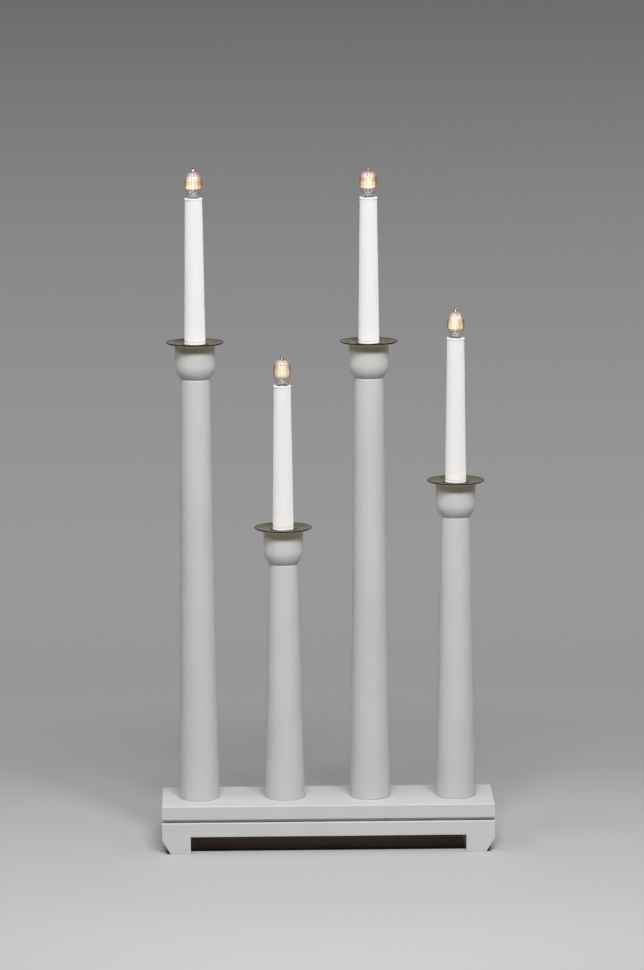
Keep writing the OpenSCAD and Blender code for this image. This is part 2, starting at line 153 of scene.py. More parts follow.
class CandleSettings(bpy.types.PropertyGroup):
    """Sizes of the plastic candles."""

    foot_radius: length("Foot radius", "Radius of a candle on its plate", 0.0088)
    top_radius: length("Top radius", "Radius of a candle at its top", 0.0072)
    mouth_radius: length("Mouth radius", "Radius of the opening for the lamp", 0.0058)
    lip_depth: length("Lip depth", "Depth of the lip around the mouth", 0.004)
    rim_height: length("Rim height", "Height of the raised rim", 0.0016)
    rim_proud: length("Rim proud", "How far the rim stands out", 0.0002)
    wall: length("Wall", "Thickness of the wall", 0.0012)
    ring_height: length("Foot ring height", "Height of the ring round the foot", 0.0019)
    ring_proud: length("Foot ring proud", "How far the foot ring stands out", 0.00012)
    gap_height: length("Foot gap height", "Height of the gap under the foot ring", 0.0003)
    gap_depth: length("Foot gap depth", "Depth of the gap under the foot ring", 0.0007)


class LampSettings(bpy.types.PropertyGroup):
    """Sizes and glow of the lamps."""

    radius: length("Radius", "Radius of the glass at its belly", 0.0075)
    neck_radius: length("Neck radius", "Radius of the glass neck", 0.0053)
    plug_radius: length("Plug radius", "Radius of the neck inside the screw cap", 0.00432)
    glass: length("Glass", "Thickness of the glass", 0.0007)
    cap_drop: length("Cap drop", "Distance from the candle's top down to the screw cap", 0.0035)
    neck_drop: length("Neck drop", "Distance from the candle's top down to the end of the neck", 0.008)
    strands: IntProperty(name="Strands", description="Strands of the filament", default=8, min=4, max=10)
    wire: length("Wire", "Diameter of the filament's wire", 0.00045)
    glow: colour("Glow", "Warm light in the belly of the glass", (0.345, 0.19, 0.088))
    cream: colour("Cream", "Pale light in front of the filament", (0.36, 0.31, 0.20))
    haze: colour("Haze", "Pale light in the dome of the glass", (0.34, 0.26, 0.225))
    core: colour("Core", "Colour of the lit filament and rod", (0.74, 0.62, 0.42))


class FinishSettings(bpy.types.PropertyGroup):
    """Colours of the finishes."""

    paint: colour("Paint", "Satin paint on the wood", srgb(198, 200, 197))
    plastic: colour("Candle plastic", "Plastic of the candles", srgb(236, 236, 237))
    plate_dark: colour("Plate patina", "Brown patina on the plates", srgb(212, 203, 188))
    plate_under: colour("Plate underside", "Brown underside of the plates", srgb(222, 204, 174))
    # The plate edge colour is partly the sheet's dark cut edge and partly painted shade for the rim's dark
    # reflections.
    plate_edge: colour("Plate edge", "Dark cut edge of the plates", srgb(30, 26, 20))
    plate_light: colour("Plate metal", "Bare metal on the plates", srgb(232, 212, 170))
    brass: colour("Brass", "Bright brass of the lamp fittings", srgb(214, 184, 116))


class StageSettings(bpy.types.PropertyGroup):
    """Light and camera."""

    key: power("Key", "Power of the light in front", 95.5)
    left: power("Left", "Power of the light on the left", 19.5)
    right: power("Right", "Power of the light on the right", 11.0)
    ambient: share("Ambient", "Light from all round", 0.012)
    wall: share("Back wall", "Light from the wall behind", 1.0)
    focal: FloatProperty(name="Focal length", description="Lens in millimetres", default=154.71, min=1.0)
    distance: length("Distance", "Camera to its target", 3.4914)
    azimuth: turn("Azimuth", "Camera's turn round the object", -1.099)
    elevation: turn("Elevation", "Camera's height above the horizon", 9.52)
    roll: turn("Roll", "Camera's tilt about its view", -0.303)
    target: FloatVectorProperty(
        name="Target",
        description="Point that the camera looks at",
        default=(-0.003395, 0.0, 0.30807),
        subtype="XYZ",
    )


SETTINGS = {
    "candle_base": BaseSettings,
    "candle_columns": ColumnSettings,
    "candle_plates": PlateSettings,
    "candle_tubes": CandleSettings,
    "candle_lamps": LampSettings,
    "candle_finishes": FinishSettings,
    "candle_stage": StageSettings,
}


def settings(name):
    """One of the scene's groups of settings."""
    return getattr(bpy.context.scene, name)


# Materials


class Field:
    """A socket whose values can be written into sums."""

    def __init__(self, finish, node, output):
        self.finish = finish
        self.node = node
        self.socket = node.outputs[output] if node.outputs else None

    def out(self, output):
        """Another output of the same node."""
        return Field(self.finish, self.node, output)

    def _math(self, operation, *values):
        return self.finish.node("ShaderNodeMath", {"operation": operation}, dict(enumerate(values)))

    def __add__(self, other):
        return self._math("ADD", self, other)

    def __radd__(self, other):
        return self._math("ADD", other, self)

    def __sub__(self, other):
        return self._math("SUBTRACT", self, other)

    def __rsub__(self, other):
        return self._math("SUBTRACT", other, self)

    def __mul__(self, other):
        return self._math("MULTIPLY", self, other)

    def __rmul__(self, other):
        return self._math("MULTIPLY", other, self)

    def __truediv__(self, other):
        return self._math("DIVIDE", self, other)

    def __rtruediv__(self, other):
        return self._math("DIVIDE", other, self)

    def __abs__(self):
        return self._math("ABSOLUTE", self)

    def least(self, other):
        """The smaller of two values."""
        return self._math("MINIMUM", self, other)

    def most(self, other):
        """The larger of two values."""
        return self._math("MAXIMUM", self, other)

    def sine(self):
        """The sine of the value."""
        return self._math("SINE", self)

    def step(self, low, high):
        """0 below low, 1 above high and smooth between them."""
        return self.finish.node(
            "ShaderNodeMapRange",
            {"interpolation_type": "SMOOTHSTEP"},
            {"Value": self, "From Min": low, "From Max": high, "To Min": 0.0, "To Max": 1.0},
        )


class Finish:
    """The nodes of one material or of the world."""

    def __init__(self, owner):
        owner.use_nodes = True
        self.owner = owner
        self.tree = owner.node_tree
        self.tree.nodes.clear()

    def node(self, kind, options=None, sockets=None, output=0):
        """A node of that kind, with its options first and then the values or links of its sockets."""
        node = self.tree.nodes.new(kind)
        for key, value in (options or {}).items():
            if key == "stops":
                self._stops(node.color_ramp, value)
            else:
                setattr(node, key, value)
        for key, value in (sockets or {}).items():
            socket = node.inputs[key]
            if isinstance(value, Field):
                self.tree.links.new(value.socket, socket)
            elif socket.type == "RGBA" and len(value) == 3:
                socket.default_value = (*value, 1.0)
            else:
                socket.default_value = value
        return Field(self, node, output)

    def _stops(self, ramp, stops):
        while len(ramp.elements) < len(stops):
            ramp.elements.new(1.0)
        for element, (place, value) in zip(ramp.elements, stops):
            element.position = place
            element.color = (*value, 1.0)

    def place(self):
        """Object coordinates in metres."""
        return self.node("ShaderNodeTexCoord").out("Object")

    def parts(self, vector):
        """The node whose outputs X, Y and Z are a vector's parts."""
        return self.node("ShaderNodeSeparateXYZ", None, {"Vector": vector})

    def axis(self, name):
        """One of the object coordinates in metres."""
        return self.parts(self.place()).out(name)

    def attribute(self, name):
        """A value that the piece's mesh holds."""
        return self.node("ShaderNodeAttribute", {"attribute_name": name}).out("Fac")

    def noise(self, scale, stretch=EVEN, detail=3.0, roughness=0.5, distortion=0.0):
        """Noise from 0 to 1 with about scale patches in a metre, drawn out along some axes."""
        sockets = {
            "Vector": self.node("ShaderNodeMapping", None, {"Vector": self.place(), "Scale": stretch}),
            "Scale": scale,
            "Detail": detail,
            "Roughness": roughness,
            "Distortion": distortion,
        }
        return self.node("ShaderNodeTexNoise", None, sockets)

    def mix(self, factor, first, second, blend="MIX"):
        """A colour between two colours."""
        options = {"data_type": "RGBA", "blend_type": blend, "clamp_factor": True}
        return self.node("ShaderNodeMix", options, {0: factor, 6: first, 7: second}, 2)

    def ramp(self, factor, *stops):
        """A colour from stops along a value."""
        return self.node("ShaderNodeValToRGB", {"stops": stops}, {"Fac": factor})

    def rays(self):
        """1 for rays that see the background, also in metal and through glass, and 1 for glossy rays."""
        path = self.node("ShaderNodeLightPath")
        glossy = path.out("Is Glossy Ray")
        return path.out("Is Camera Ray").most(glossy).most(path.out("Is Transmission Ray")), glossy

    def bump(self, height, depth, strength):
        """A normal from a height of 0 to 1, depth metres deep."""
        sockets = {"Height": height, "Distance": depth, "Strength": strength}
        return self.node("ShaderNodeBump", None, sockets, "Normal")

    def surface(self, **sockets):
        """Ends the material in one Principled shader."""
        names = {key: key.replace("_", " ").title() for key in sockets} | {"ior": "IOR"}
        named = {names[key]: value for key, value in sockets.items()}
        self.end(self.node("ShaderNodeBsdfPrincipled", None, named))
        return self.owner

    def end(self, shader):
        """Links the shader to the output."""
        kind = "World" if isinstance(self.owner, bpy.types.World) else "Material"
        self.node(f"ShaderNodeOutput{kind}", None, {"Surface": shader})


def finish(name):
    """An empty material of that name."""
    return Finish(bpy.data.materials.new(name))


def scaled(tint, *factors):
    """A colour made lighter or darker, by one factor or by one for each channel."""
    return tuple(min(1.0, channel * factor) for channel, factor in zip(tint, factors * 3))


# Heights on the base between which wood that faces down is bare, each as the ends of a soft step
BARE_FROM = (0.008, 0.010)
BARE_TO = (0.018, 0.020)


def painted_wood(name, along, shade=1.0, streak=0.06, show=0.16):
    """Satin paint on sanded wood whose grain runs along one axis and shows faintly through it."""
    tint = scaled(settings("candle_finishes").paint, shade)
    fin = finish(name)
    stretch = tuple(streak if axis == along else 1.0 for axis in "XYZ")
    grain = fin.noise(900.0, stretch, 4.0, 0.6, 0.4)
    pores = fin.noise(2600.0, stretch, 2.0)
    clouds = fin.noise(22.0, detail=4.0)
    mottle = fin.noise(1400.0, detail=2.0)
    # Painted highlight: the sanded edges are painted paler where they catch the light, broken up by noise.
    wear_and_highlight = fin.attribute("edge") * (0.55 + 0.45 * fin.noise(90.0).step(0.3, 0.6))
    tone = fin.mix(clouds.step(0.3, 0.7), scaled(tint, 0.965), scaled(tint, 1.02))
    tone = fin.mix(grain.step(0.52, 0.75) * show, tone, scaled(tint, 0.86))
    tone = fin.mix(wear_and_highlight * 0.6, tone, scaled(tint, 1.3))
    facing = fin.parts(fin.node("ShaderNodeNewGeometry").out("Normal")).out("Z")
    height = fin.axis("Z")
    bare = (1.0 - facing.step(-0.8, -0.6)) * height.step(*BARE_FROM) * (1.0 - height.step(*BARE_TO))
    tone = fin.mix(bare, tone, fin.mix(grain, srgb(62, 42, 31), srgb(98, 70, 50)))
    # Painted reflection: a brass-coloured tint on the cup's top, where the plate above throws light back.
    tone = fin.mix(fin.attribute("tarnish") * 0.85, tone, scaled(tint, 1.04, 0.93, 0.72))
    relief = grain * 0.55 + mottle * 0.35 + pores * 0.1
    return fin.surface(
        base_color=tone,
        roughness=0.44 + 0.12 * clouds + 0.06 * mottle,
        diffuse_roughness=0.05,
        normal=fin.bump(relief, 0.00006, 0.7),
    )


# Radii on a drip plate at which a tone sets in or ends, each as the ends of a soft step
WORN_LINE = (0.0222, 0.0228)
# SHADED_RIM and SHADED_RIM_BELOW paint shade along the rim's edge, top and bottom, standing in for its dark
# reflections
SHADED_RIM = (0.0228, 0.0233)
SHADED_RIM_BELOW = (0.0228, 0.0232)
# SHADED_MIDDLE paints shade on the plate round the candle's foot, where it would otherwise reflect the
# bright candle
SHADED_MIDDLE = (0.0098, 0.0128)


def patinated_brass():
    """Aged sheet brass: brown patina, spun rings and fine scratches, with painted shade along the rim and
    round the candle's foot.
    """
    colours = settings("candle_finishes")
    dark = colours.plate_dark
    fin = finish("patinated_brass")
    radius = fin.attribute("spin_radius")
    rings = (radius * 9000.0 + fin.noise(60.0) * 3.0).sine()
    fine_rings = fin.node(
        "ShaderNodeTexNoise",
        {"noise_dimensions": "1D"},
        {"W": radius * 5200.0, "Scale": 1.0, "Detail": 3.0},
    )
    clouds = fin.noise(130.0, detail=5.0, roughness=0.6)
    specks = fin.noise(900.0)
    line = radius.step(*WORN_LINE)
    # On the plates wear_and_highlight is paler, smoother metal where the brass is worn.
    wear_and_highlight = (line * 0.3 + clouds.step(0.58, 0.75) * 0.22 + fine_rings.step(0.55, 0.8) * 0.12).least(1.0)
    tone = fin.mix(clouds.step(0.3, 0.7), scaled(dark, 0.82), scaled(dark, 1.1))
    tone = fin.mix(wear_and_highlight, tone, colours.plate_light)
    # Painted shade: the rim's last part turns dark.
    tone = fin.mix(radius.step(*SHADED_RIM) * 0.9, tone, scaled(dark, 0.2))
    # Painted shade: the plate darkens round the candle's foot.
    tone = fin.mix((1.0 - radius.step(*SHADED_MIDDLE)) * 0.8, tone, scaled(dark, 0.1))
    underside = fin.attribute("underside")
    tone = fin.mix(underside * 0.9, tone, colours.plate_under)
    # The cut edge and the lower side's last part take the edge colour, partly the dark cut edge and partly
    # painted shade.
    rim = fin.attribute("cut_edge").most(underside * radius.step(*SHADED_RIM_BELOW))
    tone = fin.mix(rim, tone, colours.plate_edge)
    relief = fine_rings * 0.7 + rings * 0.08 + specks * 0.2
    return fin.surface(
        base_color=tone,
        metallic=1.0,
        roughness=0.34 + 0.16 * clouds - 0.08 * wear_and_highlight + 0.05 * specks + 0.12 * rim,
        normal=fin.bump(relief, 0.00003, 0.6),
    )


def candle_plastic():
    """White moulded plastic with a faint skin and pale clouds, a foot darkened by painted shade, and a
    painted shadow in the gap under it.
    """
    tint = settings("candle_finishes").plastic
    fin = finish("candle_plastic")
    clouds = fin.noise(35.0, (1.0, 1.0, 0.25))
    skin = fin.noise(2200.0, (1.0, 1.0, 0.5), 2.0)
    tone = fin.mix(clouds.step(0.35, 0.7), tint, scaled(tint, 1.0, 0.99, 0.965))
    # Painted shade: the foot is darker towards the bottom.
    tone = fin.mix(fin.attribute("foot") * 0.75, tone, scaled(tint, 0.87, 0.85, 0.83))
    tone = fin.mix(fin.attribute("seam") * 0.45, tone, srgb(150, 132, 116))
    # Painted shadow: the gap under the foot ring is near black.
    tone = fin.mix(fin.attribute("gap"), tone, srgb(26, 22, 18))
    return fin.surface(
        base_color=tone,
        roughness=0.36 + 0.1 * clouds + 0.04 * skin,
        diffuse_roughness=0.9,
        subsurface_weight=0.06,
        subsurface_radius=(0.002, 0.0018, 0.0016),
        subsurface_scale=1.0,
        normal=fin.bump(skin * 0.6 + clouds * 0.4, 0.00003, 0.5),
    )


def clear_glass():
    """Clear blown glass with faint waves, with painted glow standing in for its filament's light in the
    belly, the dome and the tip, and a painted dark outline at grazing angles.
    """
    lamp = settings("candle_lamps")
    glow, haze = lamp.glow, lamp.haze
    fin = finish("clear_glass")
    waves = fin.noise(160.0, (1.0, 1.0, 0.4), 2.0)
    rise, stripe = fin.attribute("rise"), fin.attribute("stripe")
    # Painted glow: the filament's light in the glass, set by height.
    lit = fin.ramp(
        rise,
        (0.0, scaled(haze, 0.06)),
        (0.30, scaled(haze, 0.1)),
        (0.315, scaled(glow, 1.25)),
        (0.36, glow),
        (0.60, glow),
        (0.66, scaled(haze, 1.4)),
        (0.82, scaled(haze, 1.5)),
        (0.87, scaled(haze, 0.3)),
        (0.89, scaled(haze, 1.5)),
    )
    dome, tip = rise.step(0.60, 0.68), rise.step(0.86, 0.885)
    belly, below_tip = rise.step(0.28, 0.32) * (1.0 - dome), dome * (1.0 - tip)
    # Painted shade: the glass turns dark and its painted glow dims at grazing angles, standing in for its
    # dark outline.
    facing = fin.node("ShaderNodeLayerWeight", None, {"Blend": 0.5}).out("Facing")
    edge = facing.step(0.3, 0.62) * (1.0 - tip) + facing.step(0.02, 0.14) * tip
    edge = edge * (1.0 - 0.15 * below_tip) * (0.5 + 0.5 * rise.step(0.24, 0.32))
    shine = fin.mix(belly * (1.0 - stripe), lit, scaled(glow, 0.1))
    shine = fin.mix(below_tip * (1.0 - stripe), shine, scaled(haze, 0.35))
    shine = fin.mix(belly * fin.attribute("lobe"), shine, lamp.cream)
    shine = fin.mix(edge, shine, scaled(glow, 0.03))
    body = fin.mix(rise.step(0.22, 0.31), (0.975, 0.945, 0.925), (1.0, 0.98, 0.97))
    return fin.surface(
        base_color=fin.mix(edge, body, (0.16, 0.10, 0.09)),
        roughness=0.015 + 0.02 * waves,
        ior=1.5,
        transmission_weight=1.0,
        emission_color=fin.mix(fin.attribute("outside"), BLACK, shine),
        emission_strength=1.0,
        normal=fin.bump(waves, 0.00006, 0.5),
    )


def stem_glass():
    """Pressed glass of the stem, with a painted glow on its beads and its rod, standing in for the
    filament's light.
    """
    fin = finish("stem_glass")
    streaks = fin.noise(700.0, (1.0, 1.0, 0.1), 2.0)
    rod = fin.mix(fin.attribute("glow"), BLACK, settings("candle_lamps").core)
    return fin.surface(
        base_color=(0.93, 0.93, 0.92),
        roughness=0.06 + 0.12 * streaks,
        ior=1.5,
        transmission_weight=0.85,
        emission_color=fin.mix(fin.attribute("bead") * 0.8, rod, (0.42, 0.36, 0.34)),
        emission_strength=1.0,
        normal=fin.bump(streaks, 0.00008, 0.6),
    )


def lit_filament():
    """A glowing wire with dark leads."""
    hot = settings("candle_lamps").core
    fin = finish("lit_filament")
    coil = fin.noise(5000.0, (1.0, 1.0, 2.0), 1.0)
    glowing = fin.mix(coil, scaled(hot, 0.85), hot)
    return fin.surface(
        base_color=(0.25, 0.24, 0.23),
        metallic=0.6,
        roughness=0.4 + 0.2 * coil,
        emission_color=fin.mix(fin.attribute("glow"), (0.02, 0.008, 0.003), glowing),
        emission_strength=1.1,
    )


def plain_metal(name, tint, grain, roughness, depth=0.00002):
    """Metal with fine drawn or rolled lines."""
    fin = finish(name)
    lines = fin.noise(2400.0, grain)
    stain = fin.noise(260.0, detail=4.0)
    return fin.surface(
        base_color=fin.mix(stain.step(0.35, 0.75), tint, scaled(tint, 0.72)),
        metallic=1.0,
        roughness=roughness + 0.14 * stain + 0.06 * lines,
        normal=fin.bump(lines, depth, 0.5),
    )


def moulded(name, tint, roughness):
    """Moulded plastic or pressed glass with a fine skin."""
    fin = finish(name)
    skin = fin.noise(3000.0, detail=2.0)
    clouds = fin.noise(150.0)
    return fin.surface(
        base_color=fin.mix(clouds.step(0.3, 0.7), tint, scaled(tint, 0.88)),
        roughness=roughness + 0.12 * clouds,
        normal=fin.bump(skin, 0.00002, 0.5),
    )


def hardboard():
    """Brown fibre board with a pressed mesh on its face."""
    fin = finish("hardboard")
    fibres = fin.noise(1500.0, (1.0, 0.35, 1.0), 5.0, 0.65, 1.2)
    clouds = fin.noise(60.0, detail=4.0)
    mesh = (fin.axis("X") * 3800.0).sine() * (fin.axis("Y") * 3800.0).sine()
    tone = fin.mix(fibres.step(0.3, 0.7), srgb(84, 60, 42), srgb(134, 100, 70))
    tone = fin.mix(clouds * 0.35, tone, srgb(70, 50, 36))
    return fin.surface(
        base_color=tone,
        roughness=0.72 + 0.14 * fibres,
        normal=fin.bump(fibres * 0.6 + mesh * 0.2, 0.00012, 0.8),
    )


# Meshes


def arc(centre, radius, start, end, steps):
    """Points (radius, height) on an arc, from one angle to another in degrees."""
    angles = [math.radians(start + (end - start) * i / steps) for i in range(steps + 1)]
    return [(centre[0] + radius * math.cos(a), centre[1] + radius * math.sin(a)) for a in angles]


def bend(a, b, c, d, steps):
    """Points (radius, height) on a cubic curve from a to d, drawn towards b and c."""
    points = []
    for i in range(steps + 1):
        t = i / steps
        weights = ((1 - t) ** 3, 3 * t * (1 - t) ** 2, 3 * t * t * (1 - t), t**3)
        points.append(tuple(sum(w * p[n] for w, p in zip(weights, (a, b, c, d))) for n in (0, 1)))
    return points


def turned(profile, x, steps, closed=False):
    """A bmesh spun round the vertical axis at x from points (radius, height)."""
    bm = bmesh.new()
    points = [bm.verts.new((x + radius, 0.0, height)) for radius, height in profile]
    pairs = list(zip(points, points[1:])) + ([(points[-1], points[0])] if closed else [])
    edges = [bm.edges.new(pair) for pair in pairs]
    bmesh.ops.spin(
        bm,
        geom=points + edges,
        cent=(x, 0.0, 0.0),
        axis=(0.0, 0.0, 1.0),
        angle=2 * math.pi,
        steps=steps,
        use_merge=True,
    )
    return bm


def cut(bm, axis, place, faces=None):
    """Cuts some faces, or all, along a plane across one axis."""
    normal = Vector([float(name == axis) for name in "XYZ"])
    geom = bm.verts[:] + bm.edges[:] + bm.faces[:]
    if faces:
        geom = list(dict.fromkeys(item for face in faces for item in (*face.verts, *face.edges, face)))
    bmesh.ops.bisect_plane(bm, geom=geom, dist=SAME_POINT, plane_co=normal * place, plane_no=normal)


def faces_at(bm, test):
    """The faces whose middle passes a test."""
    return [face for face in bm.faces if test(face.calc_center_median())]


def new_points(grown):
    """The vertices that an extrusion made."""
    return [item for item in grown["geom"] if isinstance(item, bmesh.types.BMVert)]


def linked(name, data):
    """A new object in the scene."""
    thing = bpy.data.objects.new(name, data)
    bpy.context.scene.collection.objects.link(thing)
    return thing


def make_piece(bm, name, body, material, nodes, sharp, fields=None):
    """Closes the bmesh, makes it an object that rides on a body, and gives it its finish."""
    bmesh.ops.remove_doubles(bm, verts=bm.verts[:], dist=SAME_POINT)
    bmesh.ops.dissolve_degenerate(bm, dist=1e-7, edges=bm.edges[:])
    bmesh.ops.recalc_face_normals(bm, faces=bm.faces[:])
    mesh = bpy.data.meshes.new(name)
    bm.to_mesh(mesh)
    bm.free()
    return place_piece(mesh, name, body, material, nodes, sharp, fields)


def place_piece(mesh, name, body, material, nodes, sharp, fields=None):
    """An object from a mesh, with values for its material at every vertex."""
    for field, rule in (fields or {}).items():
        layer = mesh.attributes.new(field, "FLOAT", "POINT")
        layer.data.foreach_set("value", [rule(vertex.co) for vertex in mesh.vertices])
    mesh.materials.append(material)
    mesh.shade_smooth()
    mesh.set_sharp_from_angle(angle=math.radians(sharp))
    piece = linked(name, mesh)
    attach(piece, body)
    if nodes:
        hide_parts(*nodes)
    return piece


def dress(nodes, material):
    """Gives CAD nodes that stay a finish."""
    for name in nodes:
        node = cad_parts[name]
        if not node.material_slots:
            raise ValueError(f"{name} has no material slot")
        for slot in node.material_slots:
            slot.material = material


def each(name):
    """A node's name for every candle."""
    return [f"{name}_{k}" for k in CANDLES]


def axis_of(node):
    """Where a node's vertical axis stands along the base."""
    low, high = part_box(node)
    return (low[0] + high[0]) / 2


def within(*values):
    """The smallest of some values, kept between 0 and 1."""
    return max(0.0, min(1.0, *values))


def direction(azimuth, elevation):
    """The unit vector that points from the object towards an azimuth and an elevation."""
    flat = math.cos(elevation)
    return Vector((math.sin(azimuth) * flat, -math.cos(azimuth) * flat, math.sin(elevation)))


# Operators


class CANDLE_OT_stage(bpy.types.Operator):
    """Make the floor, the lights and the camera"""

    bl_idname = "candle.stage"
    bl_label = "Stage"

    # Name, azimuth and elevation in degrees, distance, and width and height of each soft box
    soft_boxes = (
        ("key", 6.0, 49.4, 2.8, (1.6, 0.5)),
        ("left", -62.0, 43.0, 3.0, (1.8, 0.25)),
        ("right", 68.0, 43.0, 3.0, (1.8, 0.25)),
    )
    light_target = (0.0, 0.0, 0.33)

    # The floor's greys by the share of the way from its front to the horizon
    floor_half = 30.0
    floor_front, half_way = 0.5, 3.0
    floor_greys = (
        (0.036, 192),
        (0.10, 182),
        (0.135, 179),
        (0.171, 177),
        (0.204, 162),
        (0.24, 153),
        (0.28, 151),
        (0.38, 153),
        (0.499, 147),
        (0.645, 135),
        (0.754, 121),
        (0.826, 109),
    )

    # Painted shadow on the floor under the base, by the share of a span that starts before its front
    under_start, under_span = -0.04, 0.12
    shadow_tones = (
        (0.120, WHITE),
        (0.126, (0.08, 0.068, 0.064)),
        (0.158, (0.22, 0.19, 0.18)),
        (0.183, (0.60, 0.52, 0.49)),
        (0.233, (0.85, 0.72, 0.68)),
        (0.333, (0.85, 0.72, 0.68)),
        (0.625, (0.62, 0.55, 0.53)),
        (0.75, (0.62, 0.58, 0.57)),
        (0.875, WHITE),
    )

    def execute(self, context):
        stage = settings("candle_stage")
        self.floor()
        self.world(stage)
        for box in self.soft_boxes:
            self.light(*box, getattr(stage, box[0]))
        self.camera(stage)
        context.scene.view_settings.view_transform = "Standard"
        return {"FINISHED"}

    def floor(self):
        """A pale floor that darkens towards the back and keeps the shadow."""
        bm = bmesh.new()
        bmesh.ops.create_grid(bm, x_segments=1, y_segments=1, size=self.floor_half)
        mesh = bpy.data.meshes.new("floor")
        bm.to_mesh(mesh)
        bm.free()
        fin = finish("studio_floor")
        x, y = fin.axis("X"), fin.axis("Y")
        depth = y.most(0.05 - self.floor_front) + self.floor_front
        greys = [(place, grey(level)) for place, level in self.floor_greys]
        tone = fin.ramp(depth / (depth + self.half_way), *greys)
        seen, _ = fin.rays()
        far = (x * x + y * y).step(0.03, 0.35)
        bounce = fin.mix(far * (1.0 - seen), self.contact(fin, tone), grey(110))
        matt = fin.node("ShaderNodeBsdfDiffuse", None, {"Color": bounce})
        plain = fin.node("ShaderNodeEmission", None, {"Color": tone, "Strength": 1.0})
        fin.end(fin.node("ShaderNodeMixShader", None, {0: far * seen, 1: matt, 2: plain}))
        mesh.materials.append(fin.owner)
        linked("floor", mesh)

    def contact(self, fin, tone):
        """Paints shadow on the floor close under the base and beside its feet, and paints light on it in
        front.
        """
        sizes = settings("candle_base")
        half_w, half_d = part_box("base_board")[1][:2]
        inner, sole = half_w - sizes.foot_width, half_w - sizes.foot_cut_width
        x, y = abs(fin.axis("X")), fin.axis("Y")
        # Painted shadow under the base, with a sharp front edge.
        under = fin.ramp((y - self.under_start) / self.under_span, *self.shadow_tones)
        tone = fin.mix(1.0 - x.step(inner - 0.001, inner), tone, under, "MULTIPLY")
        # Painted shadow on the floor beside each foot, under its slanted cut.
        strip = x.step(sole - 0.001, sole) * (1.0 - x.step(sole + 0.0015, sole + 0.006))
        strip = strip * y.step(-half_d - 0.0002, 0.0005 - half_d) * (1.0 - y.step(half_d - 0.001, half_d))
        tone = fin.mix(strip * 0.9, tone, (0.02, 0.017, 0.015))
        # Painted light on the floor in front of the base.
        front = y.step(-0.2, -0.1) * (1.0 - y.step(-0.06, -0.03)) * (1.0 - x.step(0.12, 0.2))
        return fin.mix(front, tone, (1.04, 1.04, 1.04), "MULTIPLY")

    def world(self, stage):
        """Dim light from all round and a lit wall behind, and a plain grey where the world is seen."""
        world = bpy.data.worlds.new("studio")
        bpy.context.scene.world = world
        fin = Finish(world)
        parts = fin.parts(fin.node("ShaderNodeTexCoord").out("Generated"))
        height, depth = parts.out("Z"), parts.out("Y")
        wall = depth.step(-0.1, 0.5) * height.step(0.0, 0.12) * (1.0 - height.step(0.28, 0.5))
        light = fin.mix(stage.ambient + stage.wall * wall, BLACK, (1.3, 1.3, 1.3))
        backdrop = fin.ramp(
            height,
            (0.0, grey(118)),
            (0.2, grey(128)),
            (0.55, srgb(108, 105, 102)),
            (1.0, srgb(74, 72, 70)),
        )
        seen, glossy = fin.rays()
        backdrop = fin.mix(glossy * (1.0 - depth.step(-0.1, 0.75)), backdrop, srgb(30, 29, 28))
        fin.end(fin.node("ShaderNodeBackground", None, {"Color": fin.mix(seen, light, backdrop)}))

    def light(self, name, azimuth, elevation, distance, size, watts):
        """A soft box that looks at the columns from an azimuth and elevation in degrees."""
        lamp = bpy.data.lights.new(name, "AREA")
        lamp.shape = "RECTANGLE"
        lamp.size, lamp.size_y = size
        lamp.energy = watts
        box = linked(name, lamp)
        back = direction(math.radians(azimuth), math.radians(elevation))
        box.location = Vector(self.light_target) + back * distance
        box.rotation_euler = (-back).to_track_quat("-Z", "Y").to_euler()

    def camera(self, stage):
        """A camera with the photograph's view."""
        data = bpy.data.cameras.new("camera")
        data.lens = stage.focal
        data.sensor_width = 36.0
        data.clip_end = 200.0
        camera = linked("camera", data)
        back = direction(stage.azimuth, stage.elevation)
        right = Vector((math.cos(stage.azimuth), math.sin(stage.azimuth), 0.0))
        up = back.cross(right)
        cos, sin = math.cos(stage.roll), math.sin(stage.roll)
        view = Matrix((right * cos + up * sin, up * cos - right * sin, back)).transposed().to_4x4()
        camera.matrix_world = Matrix.Translation(Vector(stage.target) + back * stage.distance) @ view
        bpy.context.scene.camera = camera


